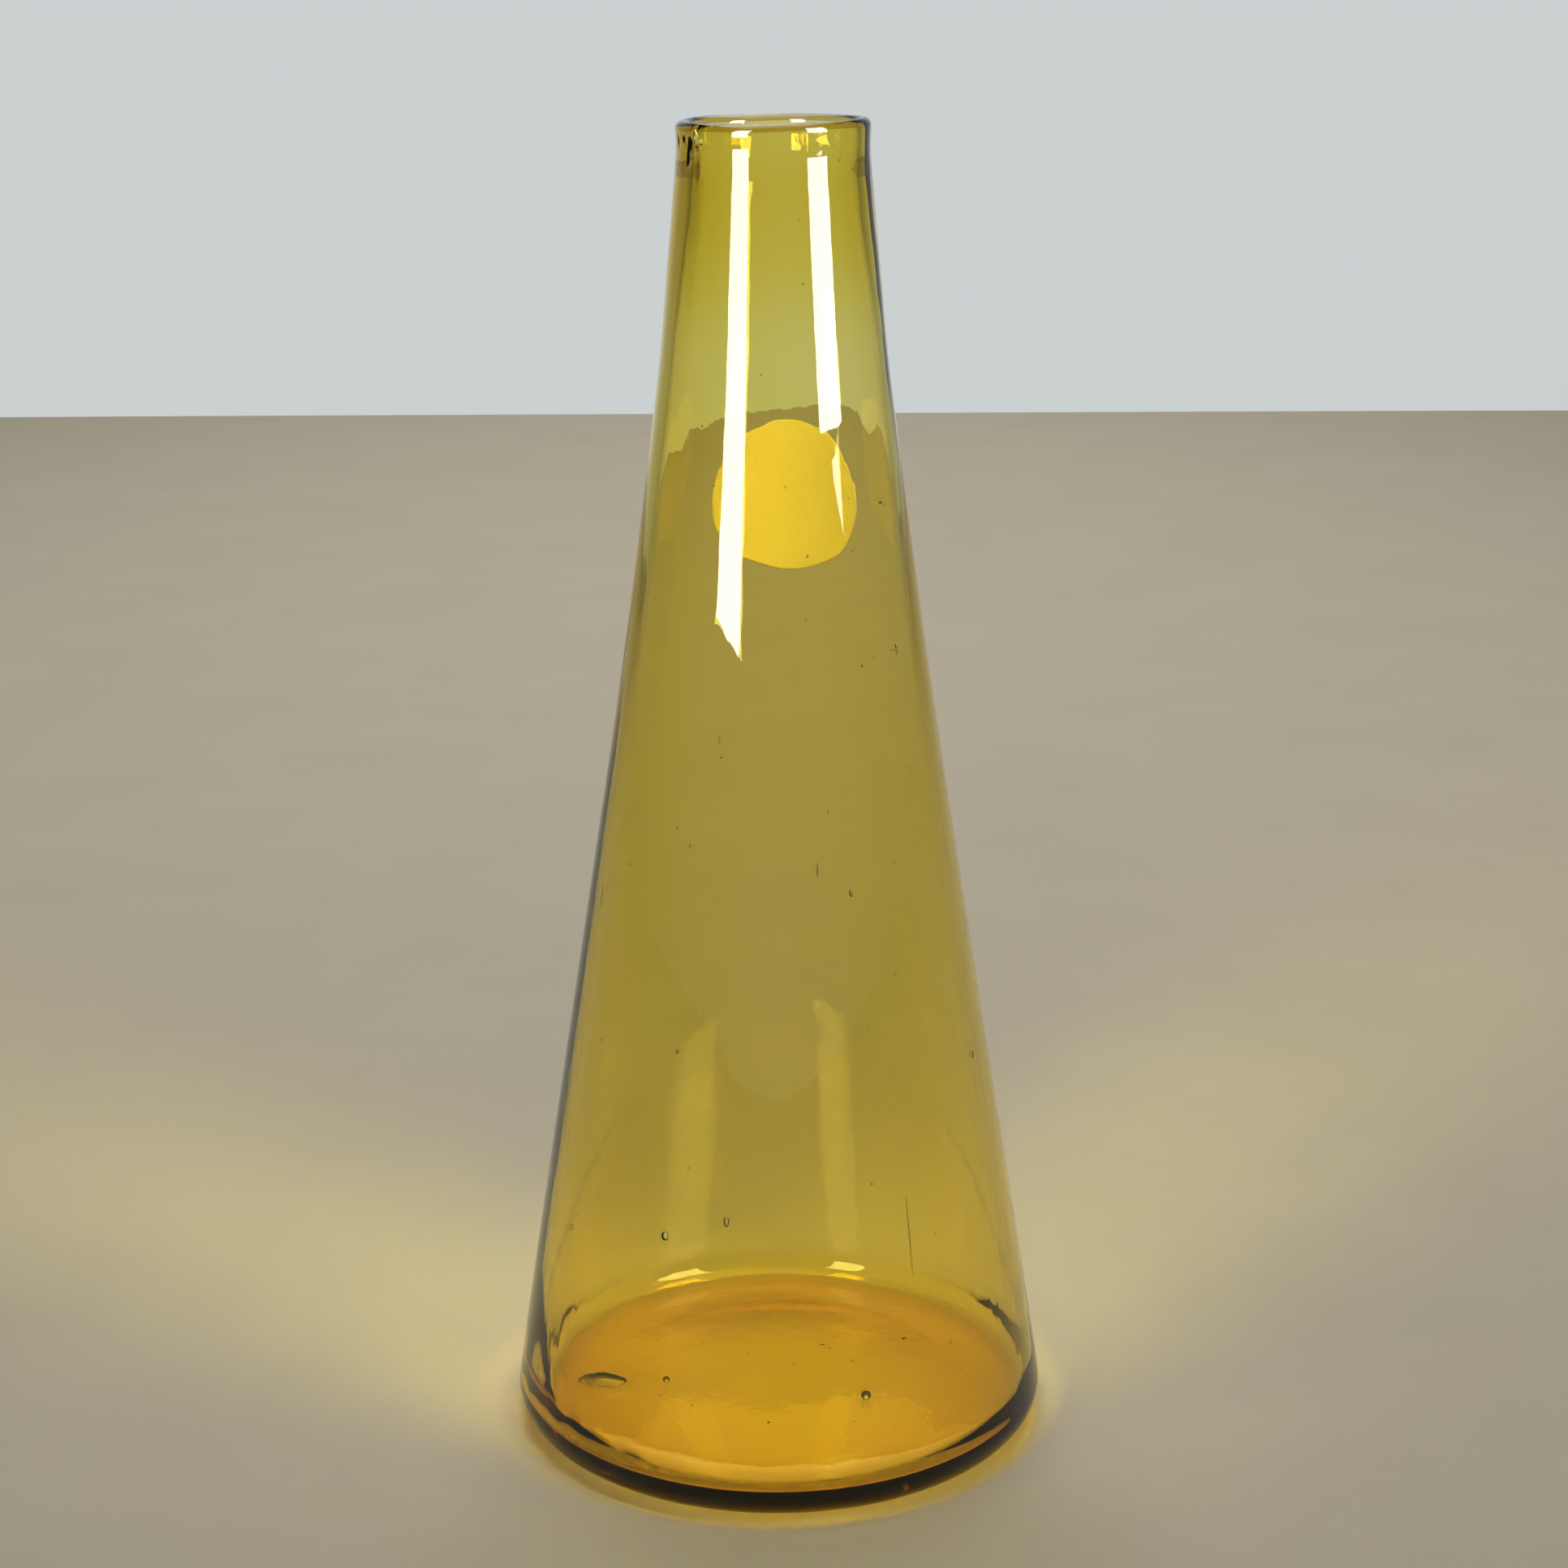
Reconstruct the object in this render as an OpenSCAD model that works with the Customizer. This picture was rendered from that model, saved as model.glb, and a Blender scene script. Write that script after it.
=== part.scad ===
// Conical glass flask with a round adhesive label.
// Mouth-blown in one piece: a thick base, a straight cone that eases into a short
// cylindrical neck, and a fire-polished lip. Millimetres, +Z up, the origin at the
// centre of the ring that the flask stands on. The label is on the +Y side.

/* [Overall] */
// Height from the table to the top of the lip
total_h = 250; // [180:1:340]
// Widest outside diameter, just above the rounded heel
base_d = 103.2; // [76:0.2:160]
// Outside diameter of the cylindrical neck
neck_d = 34.9; // [26:0.1:50]

/* [Glass thickness] */
// Wall of the cone, just above the rounded inside corner
wall_base = 2; // [1.2:0.1:4]
// Wall at the top of the cone, where it is thinnest
wall_top = 1.8; // [1:0.1:3]
// Wall of the cylindrical neck
wall_neck = 2.8; // [1.5:0.1:4]
// Height over which the wall thickens from the top of the cone to the neck
neck_swell = 32; // [10:1:60]
// Glass of the floor, measured up from the table
floor_t = 5; // [3:0.1:9]
// Width of the rounded inside corner between the floor and the wall
corner_w = 3.2; // [2:0.1:10]
// Height of the rounded inside corner
corner_h = 6; // [4:0.1:24]

/* [Neck and lip] */
// Length of the cylindrical neck, with its lip
neck_len = 10; // [6:0.5:40]
// Height from the start of the neck down to where its line would meet the line of the cone
ease_above = 21; // [8:0.5:30]
// Height from that corner down to where the cone starts to ease inwards
ease_below = 98; // [40:1:120]
// How strongly the lower end of the ease holds to the cone
ease_pull_low = 0.71; // [0.3:0.01:0.9]
// How strongly the upper end of the ease holds to the neck
ease_pull_high = 0.2; // [0.1:0.01:0.9]
// Diameter of the rounded bead along the lip
bead_d = 2.9; // [1.6:0.1:4.4]
// Height over which the outside swells into the bead
bead_blend = 3.2; // [1:0.1:5]

/* [Heel and foot] */
// Width of the rounded heel, measured inwards from the widest diameter
heel_w = 7; // [3:0.1:10]
// Height of the rounded heel
heel_h = 6.5; // [3:0.1:10]
// Width of the flat ground ring that the flask stands on
foot_w = 5; // [2:0.1:8]
// How far the middle of the underside is sunk above the table
punt_h = 1.4; // [0.3:0.1:3]

/* [Label] */
// Diameter of the round label
label_d = 30; // [15:0.5:40]
// Height of the label's centre above the table
label_z = 178; // [60:1:220]
// Direction of the label, anticlockwise from +X seen from above
label_turn = 85; // [0:1:359]
// Thickness of the label
label_t = 0.14; // [0.1:0.01:0.3]
// Film of adhesive between the glass and the label
adhesive_gap = 0.02; // [0.01:0.01:0.05]

/* [Hidden] */

$fn = 96;
ARC_STEPS = 12;
EASE_STEPS = 26;
BEAD_STEPS = 6;
LABEL_STEPS = 60;

base_r = base_d / 2;
neck_r = neck_d / 2;
bore_r = neck_r - wall_neck;
bead_r = bead_d / 2;
foot_r = base_r - heel_w;
ease_top_z = total_h - neck_len;
corner_z = ease_top_z - ease_above;
cone_slope = (base_r - neck_r) / (corner_z - heel_h);

// Angle past its widest point at which the heel runs into the cone
heel_turn = atan(cone_slope * heel_h / heel_w);

function lerp(a, b, t) = a + (b - a) * t;
// Points of an elliptic arc about [x, z], without its first point
function arc(x, z, rx, rz, from, to, steps = ARC_STEPS) =
    [for (i = [1:steps]) let (t = lerp(from, to, i / steps)) [x + rx * cos(t), z + rz * sin(t)]];
// Points of a cubic curve from a to d with the control points b and c, without its first point
function cubic(a, b, c, d, steps) =
    [for (i = [1:steps]) let (t = i / steps, u = 1 - t)
        u * u * u * a + 3 * u * u * t * b + 3 * u * t * t * c + t * t * t * d];

// Outside of the glass, from the widest part of the heel up to the foot of the lip
heel_end = [foot_r + heel_w * cos(heel_turn), heel_h + heel_h * sin(heel_turn)];
corner = [neck_r, corner_z];
ease_start = lerp(corner, heel_end, ease_below / (corner_z - heel_end[1]));
ease_end = [neck_r, ease_top_z];
side = concat([heel_end, ease_start],
    cubic(ease_start, lerp(ease_start, corner, ease_pull_low),
        lerp(ease_end, corner, ease_pull_high), ease_end, EASE_STEPS));

// Outside radius at a height on the side
function side_r(z) = lookup(z, [for (p = side) [p[1], p[0]]]);

// Wall thickness at a height: it thins from the base to the top of the cone, then swells into the neck
function share(z, from, to) = min(1, max(0, (z - from) / (to - from)));
function smooth(t) = t * t * (3 - 2 * t);
swell_z = ease_top_z - neck_swell;
function wall_at(z) = lerp(wall_base, wall_top, share(z, floor_t, swell_z))
    + (wall_neck - wall_top) * smooth(share(z, swell_z, ease_top_z));

// Inside of the glass: the same side moved in by the wall, above the inside corner
inner_z = floor_t + corner_h;
inner_foot_r = side_r(inner_z) - wall_at(inner_z);
inner_side = concat([[inner_foot_r, inner_z]],
    [for (p = side) if (p[1] > inner_z + 1) p - [wall_at(p[1]), 0]]);

function reversed(points) = [for (i = [len(points) - 1:-1:0]) points[i]];

// The sunk underside is a shallow arch that starts at the foot ring
foot_in = foot_r - foot_w;
underside = [for (i = [0:ARC_STEPS]) let (t = i / ARC_STEPS)
    [foot_in * t, punt_h * (1 - t * t)]];

bead_x = bore_r + bead_r;
bead_z = total_h - bead_r;
bead_foot = [neck_r, bead_z - bead_blend];
bead_side = [bead_x + bead_r, bead_z];

module glass_outline()
    polygon(concat(
        underside,
        [[foot_r, 0]],
        arc(foot_r, heel_h, heel_w, heel_h, -90, heel_turn),
        [for (i = [1:len(side) - 1]) side[i]],
        [bead_foot],
        cubic(bead_foot, bead_foot + [0, bead_blend / 2], bead_side - [0, bead_blend / 2],
            bead_side, BEAD_STEPS),
        arc(bead_x, bead_z, bead_r, bead_r, 0, 180),
        reversed(inner_side),
        arc(inner_foot_r - corner_w, inner_z, corner_w, corner_h, 0, -90),
        [[0, floor_t]]));

module flask_body()
    color([0.72, 0.62, 0.18, 0.55])
        rotate_extrude() glass_outline();

// A thin sleeve that follows the outside of the glass, a set distance off it
module sleeve_outline()
    polygon(concat(
        [for (p = side) p + [adhesive_gap, 0]],
        reversed([for (p = side) p + [adhesive_gap + label_t, 0]])));

// The label is a flat disc rolled onto the glass, so seen square on it is a little narrower
label_r = label_d / 2;
label_seat_r = side_r(label_z);
label_tilt = atan((side_r(label_z - 1) - side_r(label_z + 1)) / 2);

module label_outline()
    polygon([for (i = [0:LABEL_STEPS - 1]) let (t = 360 * i / LABEL_STEPS, across = label_r * cos(t))
        [label_r * sin(t), label_seat_r * sin(across / label_seat_r * 180 / PI)]]);

module round_label()
    color([0.93, 0.91, 0.84])
        intersection() {
            rotate_extrude() sleeve_outline();
            rotate([0, 0, label_turn]) translate([label_seat_r, 0, label_z])
                rotate([0, 90 - label_tilt, 0])
                    linear_extrude(label_d, center = true) label_outline();
        }

flask_body();
round_label();
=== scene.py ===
"""A conical flask of mouth-blown amber glass with a round paper label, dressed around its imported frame.

Outlines, unevenness and tables of marks are in millimetres, and a mesh turns them into metres as it is
made. Elsewhere lengths are metres, so a millimetre size is multiplied by MM. Heights are above the table,
angles are anticlockwise from +X seen from above, and the label is at the back, +Y.
"""

import math

import bpy
import numpy as np
from mathutils import Matrix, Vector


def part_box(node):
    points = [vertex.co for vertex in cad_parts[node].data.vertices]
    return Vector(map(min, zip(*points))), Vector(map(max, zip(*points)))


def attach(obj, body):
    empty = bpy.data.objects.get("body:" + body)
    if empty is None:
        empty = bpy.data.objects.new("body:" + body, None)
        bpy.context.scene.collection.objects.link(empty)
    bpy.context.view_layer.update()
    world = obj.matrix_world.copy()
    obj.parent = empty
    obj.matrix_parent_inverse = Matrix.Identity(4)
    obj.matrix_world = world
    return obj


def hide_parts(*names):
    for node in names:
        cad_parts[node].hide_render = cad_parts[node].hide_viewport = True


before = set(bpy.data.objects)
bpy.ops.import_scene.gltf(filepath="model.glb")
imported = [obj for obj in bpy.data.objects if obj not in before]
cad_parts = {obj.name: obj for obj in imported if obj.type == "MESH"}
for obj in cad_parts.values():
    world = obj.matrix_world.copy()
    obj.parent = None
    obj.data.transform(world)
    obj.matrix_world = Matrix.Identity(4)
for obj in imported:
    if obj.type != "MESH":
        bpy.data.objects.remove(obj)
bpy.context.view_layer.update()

MM = 0.001
TURN = 2 * math.pi

# ---------------------------------------------------------------- driving sizes, mm

_, flask_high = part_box("flask_body")
TOTAL_H = flask_high.z / MM
BASE_R = min(flask_high.x, flask_high.y) / MM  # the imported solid's facets cut its circle a little along Y
NECK_R = 17.45
NECK_LEN = 10.0  # the cylindrical neck, with its lip
EASE_ABOVE, EASE_BELOW = 21.0, 98.0  # the cone eases into the neck over these heights, about their corner
EASE_PULL_LOW, EASE_PULL_HIGH = 0.71, 0.2  # how strongly each end of the ease holds to its line
WALL_BASE, WALL_TOP, WALL_NECK = 2.0, 1.8, 2.8
NECK_SWELL = 32.0  # the wall thickens into the neck over this height
FLOOR_T = 5.0
CORNER_W, CORNER_H = 3.2, 6.0  # the rounded inside corner between the floor and the wall
HEEL_W, HEEL_H = 7.0, 6.5
FOOT_W = 5.0
PUNT_H = 1.4  # how far the middle of the underside is sunk
BEAD_R = 1.45
BEAD_BLEND = 3.2  # the outside swells into the bead over this height

label_low, label_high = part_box("round_label")
LABEL_R = (label_high.z - label_low.z) / MM / 2 * 1.009  # its height leans with the wall
LABEL_Z = (label_high.z + label_low.z) / MM / 2
LABEL_TURN = math.radians(85)
LABEL_T = 0.14
ADHESIVE_GAP = 0.02

# ---------------------------------------------------------------- small helpers


def linear(hex_colour):
    """An sRGB hex colour as linear red, green, blue and 1."""
    channels = [int(hex_colour[i : i + 2], 16) / 255 for i in (1, 3, 5)]
    return tuple(c / 12.92 if c <= 0.04045 else ((c + 0.055) / 1.055) ** 2.4 for c in channels) + (1.0,)


def smooth(t):
    """0 to 1 with level ends: 3t² - 2t³."""
    t = np.clip(t, 0, 1)
    return t * t * (3 - 2 * t)


def bell(x, width):
    """1 at x = 0, falling to nothing about two widths away: exp(-x² / width²)."""
    return np.exp(-((x / width) ** 2))


def around(angle, centre):
    """Angle from centre, wrapped to lie within half a turn either way."""
    return (angle - centre + math.pi) % TURN - math.pi


def mesh_object(name, points_mm, faces, material):
    """A smooth mesh object from an array of points in millimetres and a list of face index arrays."""
    mesh = bpy.data.meshes.new(name)
    corners = np.concatenate([f.ravel() for f in faces]).astype(np.int32)
    sizes = np.concatenate([np.full(len(f), f.shape[1]) for f in faces])
    starts = np.concatenate([[0], np.cumsum(sizes)[:-1]]).astype(np.int32)
    mesh.vertices.add(len(points_mm))
    mesh.vertices.foreach_set("co", (points_mm * MM).astype(np.float32).ravel())
    mesh.loops.add(len(corners))
    mesh.loops.foreach_set("vertex_index", corners)
    mesh.polygons.add(len(sizes))
    mesh.polygons.foreach_set("loop_start", starts)
    mesh.update(calc_edges=True)
    mesh.validate()
    mesh.shade_smooth()
    mesh.materials.append(material)
    made = bpy.data.objects.new(name, mesh)
    bpy.context.scene.collection.objects.link(made)
    return made


def ring_faces(rings, around_count, first=0):
    """Quads between rings of points that each close on themselves, ring i to ring i + 1."""
    i, j = np.meshgrid(np.arange(rings - 1), np.arange(around_count), indexing="ij")
    k = (j + 1) % around_count
    quads = np.stack([i * around_count + j, i * around_count + k,
                      (i + 1) * around_count + k, (i + 1) * around_count + j], axis=-1)
    return first + quads.reshape(-1, 4)


def cap_faces(ring_first, around_count, pole, outward):
    """A fan of triangles from a ring to its pole; outward flips which way it faces."""
    j = np.arange(around_count)
    k = (j + 1) % around_count
    pole = np.full(around_count, pole)
    fan = (ring_first + j, ring_first + k, pole) if outward else (ring_first + k, ring_first + j, pole)
    return np.stack(fan, axis=-1)


# ---------------------------------------------------------------- glass: the outline


def lerp(a, b, t):
    """The straight blend of a and b: a at t = 0 and b at t = 1."""
    return a + (b - a) * t


def line(a, b, count):
    """Points on a straight line from a to b, without a."""
    t = np.linspace(0, 1, count + 1)[1:, None]
    return lerp(np.array(a, float), np.array(b, float), t)


def arc(centre, radii, start, end, count):
    """Points of an elliptic arc, centre + radii * (cos, sin), in degrees and without the start."""
    t = np.radians(np.linspace(start, end, count + 1)[1:])
    return np.array(centre) + np.stack([radii[0] * np.cos(t), radii[1] * np.sin(t)], axis=1)


def cubic(a, b, c, d, count):
    """Points of the cubic curve from a to d with control points b and c, without a."""
    t = np.linspace(0, 1, count + 1)[1:, None]
    u = 1 - t
    return u**3 * a + 3 * u * u * t * b + 3 * u * t * t * c + t**3 * d


foot_r = BASE_R - HEEL_W
ease_top_z = TOTAL_H - NECK_LEN
corner = np.array([NECK_R, ease_top_z - EASE_ABOVE])
cone_slope = (BASE_R - NECK_R) / (corner[1] - HEEL_H)
heel_turn = math.degrees(math.atan(cone_slope * HEEL_H / HEEL_W))
heel_end = arc((foot_r, HEEL_H), (HEEL_W, HEEL_H), 0, heel_turn, 1)[0]
ease_start = lerp(corner, heel_end, EASE_BELOW / (corner[1] - heel_end[1]))
ease_end = np.array([NECK_R, ease_top_z])
ease = cubic(ease_start, lerp(ease_start, corner, EASE_PULL_LOW),
             lerp(ease_end, corner, EASE_PULL_HIGH), ease_end, 56)
side = np.concatenate([[heel_end], line(heel_end, ease_start, 36), ease])


def side_r(z):
    """Outside radius of the wall at height z, before any unevenness."""
    return np.interp(z, side[:, 1], side[:, 0])


def wall_at(z):
    """Wall thickness: it thins from the base to the top of the cone, then swells into the neck."""
    swell_z = ease_top_z - NECK_SWELL
    up = np.clip((z - FLOOR_T) / (swell_z - FLOOR_T), 0, 1)
    return lerp(WALL_BASE, WALL_TOP, up) + (WALL_NECK - WALL_TOP) * smooth((z - swell_z) / NECK_SWELL)


def glass_outline():
    """The closed half section as radius and height, from the middle of the underside round to the floor's.

    Its stretches are the sunk underside (a parabola), the flat foot ring, the heel (a quarter ellipse), the
    side (a line and a cubic), the swelling into the bead (a cubic), the bead (half a circle), the inside of
    the side moved in by the wall, the inside corner (a quarter ellipse) and the floor. The third column is
    0 on the outside and 1 on the inside, going over from one to the other round the bead.
    """
    foot_in = foot_r - FOOT_W
    t = np.linspace(0, 1, 13)[1:, None]
    underside = np.concatenate([foot_in * t, PUNT_H * (1 - t * t)], axis=1)
    bead = np.array([NECK_R - WALL_NECK + BEAD_R, TOTAL_H - BEAD_R])
    bead_foot = np.array([NECK_R, bead[1] - BEAD_BLEND])
    bead_side = bead + [BEAD_R, 0]
    half = np.array([0, BEAD_BLEND / 2])
    inner_z = FLOOR_T + CORNER_H
    inner = side[side[:, 1] > inner_z + 1][::-1] * 1.0
    inner[:, 0] -= wall_at(inner[:, 1])
    inner_foot = np.array([side_r(inner_z) - wall_at(inner_z), inner_z])
    stretches = [
        underside,
        line([foot_in, 0], [foot_r, 0], 2),
        arc((foot_r, HEEL_H), (HEEL_W, HEEL_H), -90, heel_turn, 18),
        side[1:],
        line(ease_end, bead_foot, 12),
        cubic(bead_foot, bead_foot + half, bead_side - half, bead_side, 6),
        arc(bead, (BEAD_R, BEAD_R), 0, 180, 14),
        line(bead - [BEAD_R, 0], inner[0], 12),
        inner[1:],
        [inner_foot],
        arc(inner_foot - [CORNER_W, 0], (CORNER_W, CORNER_H), 0, -90, 16),
        line([inner_foot[0] - CORNER_W, FLOOR_T], [1.5, FLOOR_T], 14),
    ]
    inside = np.concatenate([
        np.zeros(sum(len(s) for s in stretches[:6])),
        smooth(np.linspace(0, 1, 14)),
        np.ones(sum(len(s) for s in stretches[7:])),
    ])
    return np.column_stack([np.concatenate(stretches), inside])


# ---------------------------------------------------------------- glass: its hand-blown unevenness


def outer_wobble(angle, z):
    """How far the outside stands off a true turned shape, which is nothing at the foot.

    Slow waves run round and up the wall with faint cords on them, and the neck keeps a little of the cone's
    taper. Each wave is a cosine of the angle and the height.
    """
    grip = smooth((z - 8) / 14)
    taper = 0.42 * smooth((245 - z) / 8) * smooth((z - 205) / 25)
    slow = 0.09 * np.cos(2 * angle + 0.7 + z / 95) + 0.05 * np.cos(3 * angle - 1.9 - z / 60)
    cords = 0.012 * np.cos(9 * angle + 2.2 + z / 70) + 0.008 * np.cos(17 * angle + 0.4 - z / 110)
    return grip * (slow + cords) + taper - tool_dent(angle, z)


def inner_wobble(angle, z):
    """How far the inside stands off the turned shape.

    The bubble was blown a little off centre, so the wall is uneven near the lip. Slow waves and cords run
    up the inside as they do outside, out of step with them, and short ripples lie round the neck.
    """
    off_centre = lerp(0.12, 0.32, smooth((z - 120) / 110)) * np.cos(angle - math.radians(10))
    slow = 0.10 * np.cos(2 * angle - 1.1 + z / 80) + 0.06 * np.cos(4 * angle + 0.9 - z / 45)
    cords = 0.02 * np.cos(11 * angle + 1.3 - z / 60) + 0.012 * np.cos(23 * angle + 2.9 + z / 90)
    ripples = 0.012 * np.cos(z / 1.7 + 3 * angle) * np.cos(7 * angle + z / 9) * smooth((z - 190) / 40)
    return smooth((z - FLOOR_T) / 12) * (off_centre + slow + cords) + ripples - heel_gather(angle, z)


def heel_gather(angle, z):
    """How far the glass that gathered in the left heel stands into the inside, with the folds up it.

    It is a bell round the heel, fading out upwards, and the folds are waves on a slant across it.
    """
    turn = around(angle, math.radians(200))
    heap = bell(turn, 0.8) * smooth((34 - z) / 26)
    folds = np.cos(26 * turn + z / 2.6) + 0.6 * np.cos(41 * turn + z / 1.7 + 1.0)
    return heap * (1.1 + 0.05 * folds) * smooth((z - FLOOR_T) / 3)


def tool_dent(angle, z):
    """The dents that the jacks left under the lip: deep and small, each a bell, with a drawn-out tail."""
    dents = 0 * angle
    for degrees, height, wide, tall, depth in TOOL_MARKS:
        across = around(angle, math.radians(degrees)) * NECK_R
        dents = dents + depth * np.exp(-((across / wide) ** 2) - ((z - height) / tall) ** 2)
    return dents


def lip_wobble(angle, z):
    """How far the lip dips below a level ring, fading out down the neck: it is highest on the right."""
    tilt = 0.22 * (np.cos(angle - 0.3) - 1)
    bends = 0.07 * (np.cos(2 * angle + 1.1) - 1) + 0.04 * (np.cos(5 * angle) - 1)
    return (tilt + bends) * smooth((z - (TOTAL_H - 14)) / 14)


def floor_waves(r, angle):
    """Height of the slow waves in the floor and the underside, which fade out at the foot ring."""
    x, y = r * np.cos(angle), r * np.sin(angle)
    waves = 0.10 * np.cos(x / 9 + 0.6) * np.cos(y / 12 - 0.4) + 0.05 * np.cos(x / 5 - y / 7)
    return waves * smooth((38 - r) / 12)


def flask_points(around_count):
    """The glass as rings of points: the outline turned about Z, each point moved by the unevenness."""
    section = glass_outline()
    angle = np.arange(around_count) * TURN / around_count
    r, z, inside = (section[:, i, None] + 0 * angle for i in range(3))
    angle = angle + 0 * r
    r = r + lerp(outer_wobble(angle, z), inner_wobble(angle, z), inside)
    z = z + lip_wobble(angle, z) + inside * floor_waves(r, angle) * smooth((14 - z) / 6)
    return np.stack([r * np.cos(angle), r * np.sin(angle), z], axis=-1)


# Each tool mark has an angle in degrees, a height, a half width, a half height and a depth, all in mm.
TOOL_MARKS = [
    (215.5, 246.4, 0.80, 1.4, 0.75),
    (222.0, 246.3, 0.55, 0.6, 0.35),
    (213.0, 243.7, 0.50, 1.5, 0.35),
    (208.0, 247.2, 0.60, 1.0, 0.40),
    (199.0, 246.6, 0.50, 1.5, 0.22),
    (224.0, 242.0, 0.45, 2.6, 0.08),
    (271.8, 239.4, 0.35, 0.6, 0.12),
    (306.0, 245.8, 0.60, 0.5, 0.08),
    (311.0, 244.2, 0.35, 0.9, 0.12),
    (342.0, 241.1, 0.40, 0.5, 0.10),
]
# Seeds are small bubbles caught in the glass: each has an angle in degrees, a height, how deep it lies in
# the wall from 0, outside, to 1, inside, and its half width, half height and half thickness.
WALL_SEEDS = [
    (216.0, 246.6, 0.60, 0.75, 1.5, 0.55),
    (212.5, 244.4, 0.65, 0.45, 1.3, 0.45),
    (221.5, 246.2, 0.60, 0.40, 0.6, 0.40),
    (241.8, 52.1, 0.5, 0.75, 0.85, 0.4),
    (257.5, 56.4, 0.5, 0.50, 1.0, 0.4),
    (303.0, 51.3, 0.2, 0.13, 7.7, 0.13),
    (337.2, 78.4, 0.5, 0.55, 0.7, 0.4),
    (201.4, 109.2, 0.4, 0.25, 2.2, 0.2),
    (283.0, 120.0, 0.5, 0.16, 1.3, 0.16),
    (250.0, 143.0, 0.5, 0.14, 1.0, 0.14),
    (65.0, 95.0, 0.5, 0.45, 0.8, 0.35),
    (120.0, 60.0, 0.5, 0.40, 0.5, 0.35),
    (30.0, 150.0, 0.5, 0.22, 1.2, 0.2),
    (160.0, 30.0, 0.5, 0.6, 0.7, 0.4),
]
# Seeds in the floor have x, y, a height, and half sizes along x, y and z.
FLOOR_SEEDS = [
    (-22.6, -2.5, 4.0, 0.85, 1.2, 0.75),
    (17.3, -8.5, 3.8, 1.1, 1.9, 0.95),
    (-36.0, -3.5, 3.6, 5.4, 3.0, 0.55),
    (-6.0, 9.0, 4.2, 0.25, 0.3, 0.2),
    (3.0, 4.0, 4.4, 0.2, 0.25, 0.15),
    (9.0, 13.0, 4.1, 0.3, 0.3, 0.2),
    (-2.0, -20.0, 4.3, 0.3, 0.4, 0.2),
    (26.0, 16.0, 3.9, 0.4, 0.6, 0.3),
]


# Specks are seeds too small to place: how many there are, and where they lie, in mm.
WALL_SPECKS, FLOOR_SPECKS = 60, 45
SPECK_STRETCH = 1.6  # how much taller than wide the blowing drew the ones in the wall
FLOOR_SPECK_REACH, FLOOR_SPECK_Z = 40, 3.9
SPECK_GRID = (8, 5)
UPRIGHT = ([1, 0, 0], [0, 0, 1], [0, 1, 0])  # across, up and through for a seed that stands straight


def bubble(centre, across, up, through, sizes, columns=20, rows=11):
    """A hollow in the glass: an ellipsoid on three axes, whose faces point into it, away from the glass.

    A point at tilt t and spin s is the centre + sizes * (sin t cos s, sin t sin s, cos t) along across,
    through and up, and a pole closes each end.
    """
    tilt = np.linspace(0, math.pi, rows + 2)[1:-1, None]
    spin = np.arange(columns) * TURN / columns
    level = np.sin(tilt)
    ball = np.stack([level * np.cos(spin), level * np.sin(spin), np.cos(tilt) + 0 * spin], axis=-1)
    ball = np.concatenate([ball.reshape(-1, 3), [[0, 0, 1], [0, 0, -1]]]) * sizes
    points = centre + ball @ np.array([across, through, up])
    count = rows * columns
    faces = [
        ring_faces(rows, columns),
        cap_faces(0, columns, count, outward=False),
        cap_faces(count - columns, columns, count + 1, outward=True),
    ]
    return points, faces


def around_axis(degrees, radius, z):
    """The point at an angle, a radius and a height."""
    angle = math.radians(degrees)
    return np.array([radius * math.cos(angle), radius * math.sin(angle), z])


def seeds():
    """Every seed as points and faces: the placed ones, then specks strewn in the wall and the floor."""
    made = []
    for degrees, z, depth, half_w, half_h, half_t in WALL_SEEDS:
        centre = around_axis(degrees, side_r(z) - depth * wall_at(z), z)
        # a wall seed is drawn out along the slope of the wall
        up = around_axis(degrees, (side_r(z + 1) - side_r(z - 1)) / 2, 1)
        up = up / np.linalg.norm(up)
        across = around_axis(degrees + 90, 1, 0)
        made.append(bubble(centre, across, up, np.cross(up, across), (half_w, half_t, half_h)))
    for x, y, z, half_x, half_y, half_z in FLOOR_SEEDS:
        made.append(bubble(np.array([x, y, z]), *UPRIGHT, (half_x, half_y, half_z)))
    draw = np.random.default_rng(11)
    degrees = draw.uniform(0, 360, WALL_SPECKS)
    heights = draw.uniform(14, 236, WALL_SPECKS)
    sizes = draw.uniform(0.10, 0.19, WALL_SPECKS)
    for turn, z, size in zip(degrees, heights, sizes):
        centre = around_axis(turn, side_r(z) - 0.5 * wall_at(z), z)
        made.append(bubble(centre, *UPRIGHT, (size, size, size * SPECK_STRETCH), *SPECK_GRID))
    degrees = np.degrees(draw.uniform(0, TURN, FLOOR_SPECKS))
    radii = FLOOR_SPECK_REACH * draw.uniform(0, 1, FLOOR_SPECKS) ** 0.5  # the root spreads them evenly
    sizes = draw.uniform(0.10, 0.2, FLOOR_SPECKS)
    for turn, radius, size in zip(degrees, radii, sizes):
        centre = around_axis(turn, radius, FLOOR_SPECK_Z)
        made.append(bubble(centre, *UPRIGHT, (size, size, size), *SPECK_GRID))
    return made


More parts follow.
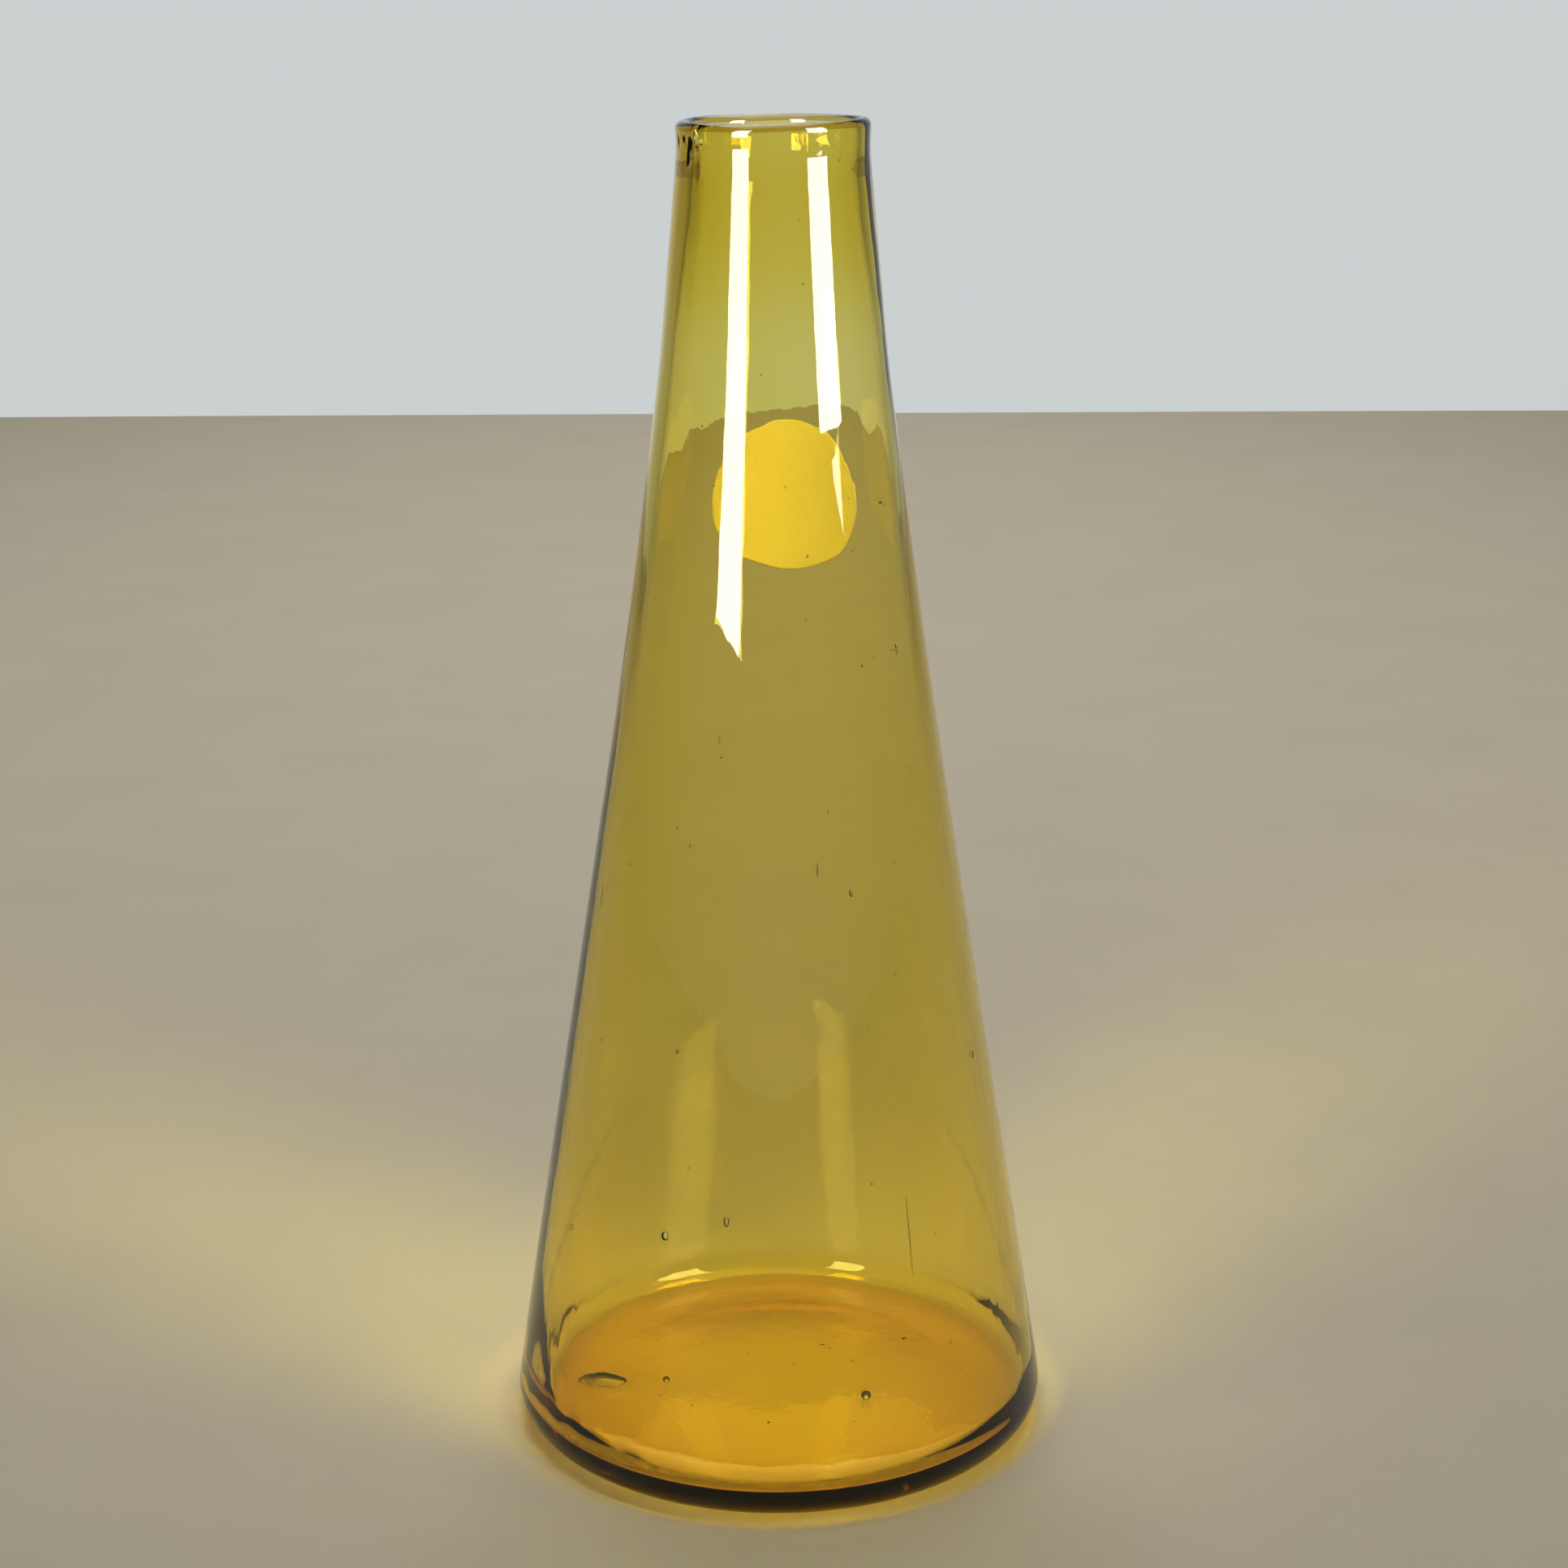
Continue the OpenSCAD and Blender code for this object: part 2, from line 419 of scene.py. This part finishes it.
def flask(material, around_count=288):
    """The whole flask as one closed mesh: the glass, and the seeds as hollows in it."""
    rings = flask_points(around_count)
    ring_count = len(rings)
    points = rings.reshape(-1, 3)
    under, floor = len(points), len(points) + 1
    poles = [[0, 0, PUNT_H], [0, 0, rings[-1, :, 2].mean()]]
    # the outline starts underneath and runs outwards and up, so faces from ring to ring point outwards
    faces = [
        ring_faces(ring_count, around_count),
        cap_faces(0, around_count, under, outward=False),
        cap_faces((ring_count - 1) * around_count, around_count, floor, outward=True),
    ]
    clouds = [points, np.array(poles, float)]
    total = len(points) + 2
    for seed_points, seed_faces in seeds():
        clouds.append(seed_points)
        faces += [f + total for f in seed_faces]
        total += len(seed_points)
    return mesh_object("amber_flask", np.concatenate(clouds), faces, material)


# ---------------------------------------------------------------- label


def label(material, rings=30, around_count=120):
    """The label: a flat disc rolled onto the outside of the glass.

    A point at distance p and angle q on the disc lies p cos q across it and p sin q up it; across becomes
    an angle round the wall and up becomes a height. The edge is cut a little ragged, the sum of three
    cosines of q, and its outer corner is pressed round.
    """
    seat_r = side_r(LABEL_Z)
    lean = math.atan((side_r(LABEL_Z - 1) - side_r(LABEL_Z + 1)) / 2)
    q = np.arange(around_count) * TURN / around_count
    share = np.linspace(0, 1, rings + 1)[1:, None] ** 0.8
    ragged = 1 + 0.0016 * np.cos(5 * q + 1) + 0.0011 * np.cos(13 * q + 2) + 0.0006 * np.cos(29 * q)
    p = LABEL_R * share * lerp(1, ragged, share)

    def skin(distance, height_off):
        """Points of the disc at a distance from its centre, lifted off the glass by height_off."""
        across, up = distance * np.cos(q), distance * np.sin(q)
        angle = LABEL_TURN - across / seat_r
        z = LABEL_Z + up * math.cos(lean)
        r = side_r(z) + outer_wobble(angle, z) + height_off
        return np.stack([r * np.cos(angle), r * np.sin(angle), z + 0 * r], axis=-1)

    back = skin(p, ADHESIVE_GAP)
    face = skin(p - 0.05 * smooth((share - 0.9) / 0.1), ADHESIVE_GAP + LABEL_T)
    centre_back = skin(np.zeros((1, 1)), ADHESIVE_GAP)[0, :1]
    centre_face = skin(np.zeros((1, 1)), ADHESIVE_GAP + LABEL_T)[0, :1]
    stack = np.concatenate([face, back[::-1]])
    points = np.concatenate([stack.reshape(-1, 3), centre_face, centre_back])
    count = 2 * rings * around_count
    faces = [
        ring_faces(2 * rings, around_count),
        cap_faces(0, around_count, count, outward=False),
        cap_faces((2 * rings - 1) * around_count, around_count, count + 1, outward=True),
    ]
    return mesh_object("round_paper_label", points, faces, material)


# ---------------------------------------------------------------- materials


def add(tree, kind, inputs=None, **settings):
    """Adds a shader node: settings are its attributes, inputs its values or the sockets that feed them."""
    made = tree.nodes.new("ShaderNode" + kind)
    for name, value in settings.items():
        setattr(made, name, value)
    for name, value in (inputs or {}).items():
        socket = made.inputs[name]
        if isinstance(value, bpy.types.NodeSocket):
            tree.links.new(value, socket)
        else:
            socket.default_value = value
    return made


def new_material(name):
    """An empty node material and its tree, with an output node."""
    made = bpy.data.materials.new(name)
    made.use_nodes = True
    made.node_tree.nodes.clear()
    return made, made.node_tree, add(made.node_tree, "OutputMaterial")


def blown_amber_glass():
    """Soda-lime glass coloured amber by iron and sulphur, mouth-blown.

    It is clear and wet-looking, olive where it is thin and brown where it is thick.
    """
    made, tree, output = new_material("blown_amber_glass")
    place = add(tree, "TexCoord").outputs["Object"]
    # cords: faint ridges 4 mm apart and 30 mm long that the blowing drew out
    stretched = add(tree, "Mapping", {"Vector": place, "Scale": (1 / 4 / MM, 1 / 4 / MM, 1 / 30 / MM)})
    cords = add(tree, "TexNoise", {"Vector": stretched.outputs[0], "Scale": 1.0, "Detail": 2.0})
    bump = add(tree, "Bump", {"Height": cords.outputs["Fac"], "Distance": 0.05 * MM, "Strength": 0.6})
    shader = add(tree, "BsdfPrincipled", {
        "Base Color": linear("#FFFFFF"), "Roughness": 0.0, "IOR": 1.5,
        "Transmission Weight": 1.0, "Normal": bump.outputs[0],
    })
    tint = add(tree, "VolumeAbsorption", {"Color": linear("#F8EE4C"), "Density": 500.0})
    tree.links.new(shader.outputs[0], output.inputs["Surface"])
    tree.links.new(tint.outputs[0], output.inputs["Volume"])
    return made


def label_paper():
    """Uncoated label paper, die-cut: matt, off-white, glowing a little through, with a cloud of fibres."""
    made, tree, output = new_material("uncoated_label_paper")
    place = add(tree, "TexCoord").outputs["Object"]
    fibres = add(tree, "TexNoise", {"Vector": place, "Scale": 1 / 0.8 / MM, "Detail": 6.0})
    colour = add(tree, "ValToRGB", {"Fac": fibres.outputs["Fac"]})
    colour.color_ramp.elements[0].color = linear("#EDE8DA")
    colour.color_ramp.elements[1].color = linear("#FAF7EE")
    bump = add(tree, "Bump", {"Height": fibres.outputs["Fac"], "Distance": 0.02 * MM, "Strength": 0.5})
    front = add(tree, "BsdfPrincipled", {
        "Base Color": colour.outputs["Color"], "Roughness": 0.75, "Normal": bump.outputs[0],
    })
    through = add(tree, "BsdfTranslucent", {"Color": colour.outputs["Color"], "Normal": bump.outputs[0]})
    sheet = add(tree, "MixShader", {"Fac": 0.15, 1: front.outputs[0], 2: through.outputs[0]})
    tree.links.new(sheet.outputs[0], output.inputs["Surface"])
    return made


def studio_floor_paint():
    """Pale matt paint on the studio floor: faint clouds keep it from looking like a flat fill."""
    made, tree, output = new_material("pale_matt_floor_paint")
    place = add(tree, "TexCoord").outputs["Object"]
    clouds = add(tree, "TexNoise", {"Vector": place, "Scale": 1 / 60 / MM, "Detail": 3.0})
    colour = add(tree, "ValToRGB", {"Fac": clouds.outputs["Fac"]})
    colour.color_ramp.elements[0].color = linear("#C9BFA8")
    colour.color_ramp.elements[1].color = linear("#D2C8B1")
    shader = add(tree, "BsdfPrincipled", {
        "Base Color": colour.outputs["Color"], "Roughness": 0.8, "Specular IOR Level": 0.1,
    })
    tree.links.new(shader.outputs[0], output.inputs["Surface"])
    return made


# ---------------------------------------------------------------- studio

CAMERA_LENS = 67.53
CAMERA_PLACE = (1.5 * MM, -534 * MM, 277 * MM)
CAMERA_DOWN = 15.68
CAMERA_ROLL = -0.25
FLOOR_Z = -0.05  # mm, so that the foot ring and the table top don't share a plane
FLOOR_HALVES = (90, 300, 700, 1320)  # mm, the last one is half the table top's width
FLOOR_COLUMNS = 160
WINDOW_AWAY = 600  # mm
WINDOW_PANES = 8  # each way, so that a pane follows the circle
WINDOW_RADIANCE, LOW_WINDOW_RADIANCE = 20, 12
SOFT_BOX_RADIANCE = 2.3
SOFT_BOX_SIZE = (0.8, 2.0)  # m
SOFT_BOX_PLACE = (0, 0.75, 1.1)
CEILING_START, CEILING_END, CEILING_SHADE = 0.35, 0.7, 0.12  # it dims between these slopes, to this share
# how bright the room is from the front, 0, round by the sides, 0.5, to the back, 1
WALL_SHADES = [
    (0.0, "#94999A"), (1.0, "#CBD0D1"), (0.35, "#5E6263"), (0.6, "#5E6263"), (0.82, "#7B8081"),
    (0.95, "#B4B9BA"), (0.98, "#CBD0D1"),
]


def camera():
    """The camera, above the lip and looking a little down."""
    made = bpy.data.objects.new("camera", bpy.data.cameras.new("camera"))
    made.data.lens = CAMERA_LENS
    made.data.sensor_width = 36
    made.data.clip_end = 50
    tilt = Matrix.Rotation(math.radians(90 - CAMERA_DOWN), 4, "X")
    roll = Matrix.Rotation(math.radians(CAMERA_ROLL), 4, "Z")
    made.matrix_world = Matrix.Translation(CAMERA_PLACE) @ tilt @ roll
    bpy.context.scene.collection.objects.link(made)
    bpy.context.scene.camera = made


def floor():
    """A pale table top: rings of one rounded square, |x|^5 + |y|^5 = half^5, just below the foot ring."""
    t = np.arange(FLOOR_COLUMNS) * TURN / FLOOR_COLUMNS
    outline = (np.abs(np.cos(t)) ** 5 + np.abs(np.sin(t)) ** 5) ** -0.2
    rings = [np.stack([half * outline * np.cos(t), half * outline * np.sin(t), 0 * t + FLOOR_Z], axis=1)
             for half in FLOOR_HALVES]
    points = np.concatenate(rings + [[[0, 0, FLOOR_Z]]])
    count = len(FLOOR_HALVES)
    faces = [
        cap_faces(0, FLOOR_COLUMNS, count * FLOOR_COLUMNS, outward=True),
        ring_faces(count, FLOOR_COLUMNS)[:, ::-1],
    ]
    mesh_object("studio_floor", points, faces, studio_floor_paint())


def daylight(name, radiance):
    """Plain light from a window, a little cool."""
    made, tree, output = new_material(name)
    glow = add(tree, "Emission", {"Color": linear("#FBFDFF"), "Strength": radiance})
    tree.links.new(glow.outputs[0], output.inputs["Surface"])
    return made


def window(name, left, right, radiance):
    """A window that the glass mirrors as an upright streak, standing on a circle around the flask.

    left and right are its upright sides, each a bearing in degrees from the camera's side of the flask,
    positive to the right, and the heights of its foot and its head. The pane is the straight blend of them.
    """
    corners = WINDOW_PANES + 1
    u = np.linspace(0, 1, corners)[None, :]
    v = np.linspace(0, 1, corners)[:, None]
    bearing = np.radians(lerp(left[0], right[0], u)) + 0 * v
    height = lerp(lerp(left[1], right[1], u), lerp(left[2], right[2], u), v)
    points = np.stack([WINDOW_AWAY * np.sin(bearing), -WINDOW_AWAY * np.cos(bearing), height], axis=-1)
    i, j = np.meshgrid(np.arange(WINDOW_PANES), np.arange(WINDOW_PANES), indexing="ij")
    low, high = i * corners + j, (i + 1) * corners + j
    faces = np.stack([low, high, high + 1, low + 1], axis=-1).reshape(-1, 4)
    made = mesh_object(name, points.reshape(-1, 3), [faces], daylight(name + "_daylight", radiance))
    made.visible_camera = False
    made.visible_diffuse = False
    made.visible_shadow = False


def soft_box():
    """A long soft light over the table, from above the flask to far behind it."""
    light = bpy.data.lights.new("soft_box", "AREA")
    light.shape = "RECTANGLE"
    light.size, light.size_y = SOFT_BOX_SIZE
    light.energy = SOFT_BOX_RADIANCE * light.size * light.size_y * math.pi
    made = bpy.data.objects.new("soft_box", light)
    made.location = SOFT_BOX_PLACE
    made.visible_camera = False
    bpy.context.scene.collection.objects.link(made)


def room():
    """The room's own light: a pale wall behind, falling away to dimmer sides, ceiling and front."""
    world = bpy.data.worlds.new("pale_room")
    bpy.context.scene.world = world
    world.use_nodes = True
    tree = world.node_tree
    tree.nodes.clear()
    way = add(tree, "SeparateXYZ", {0: add(tree, "TexCoord").outputs["Generated"]})
    shade = add(tree, "MapRange", {"Value": way.outputs["Y"], "From Min": -1.0, "From Max": 1.0}).outputs[0]
    ramp = add(tree, "ValToRGB", {"Fac": shade})
    stops = ramp.color_ramp.elements
    for index, (place, colour) in enumerate(WALL_SHADES):
        stop = stops[index] if index < 2 else stops.new(place)
        stop.position = place
        stop.color = linear(colour)
    ceiling = add(tree, "MapRange", {
        "Value": way.outputs["Z"], "From Min": CEILING_START, "From Max": CEILING_END,
        "To Min": 1.0, "To Max": CEILING_SHADE,
    })
    glow = add(tree, "Background", {"Color": ramp.outputs["Color"], "Strength": ceiling.outputs[0]})
    tree.links.new(glow.outputs[0], add(tree, "OutputWorld").inputs["Surface"])


# ---------------------------------------------------------------- making it

camera()
amber_flask = flask(blown_amber_glass())
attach(amber_flask, "root")
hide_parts("flask_body")

paper_label = label(label_paper())
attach(paper_label, "root")
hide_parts("round_label")

floor()
room()
window("left_window", (-46, 188, 700), (-27, 187, 700), WINDOW_RADIANCE)
window("right_window", (42, 246, 700), (66, 235, 700), WINDOW_RADIANCE)
window("right_window_foot", (52, 229, 233), (59, 207, 233), LOW_WINDOW_RADIANCE)
soft_box()
bpy.context.scene.view_settings.view_transform = "Standard"
# light that the glass bends reaches the label and the table only when it isn't blurred away
bpy.context.scene.cycles.blur_glossy = 0.0
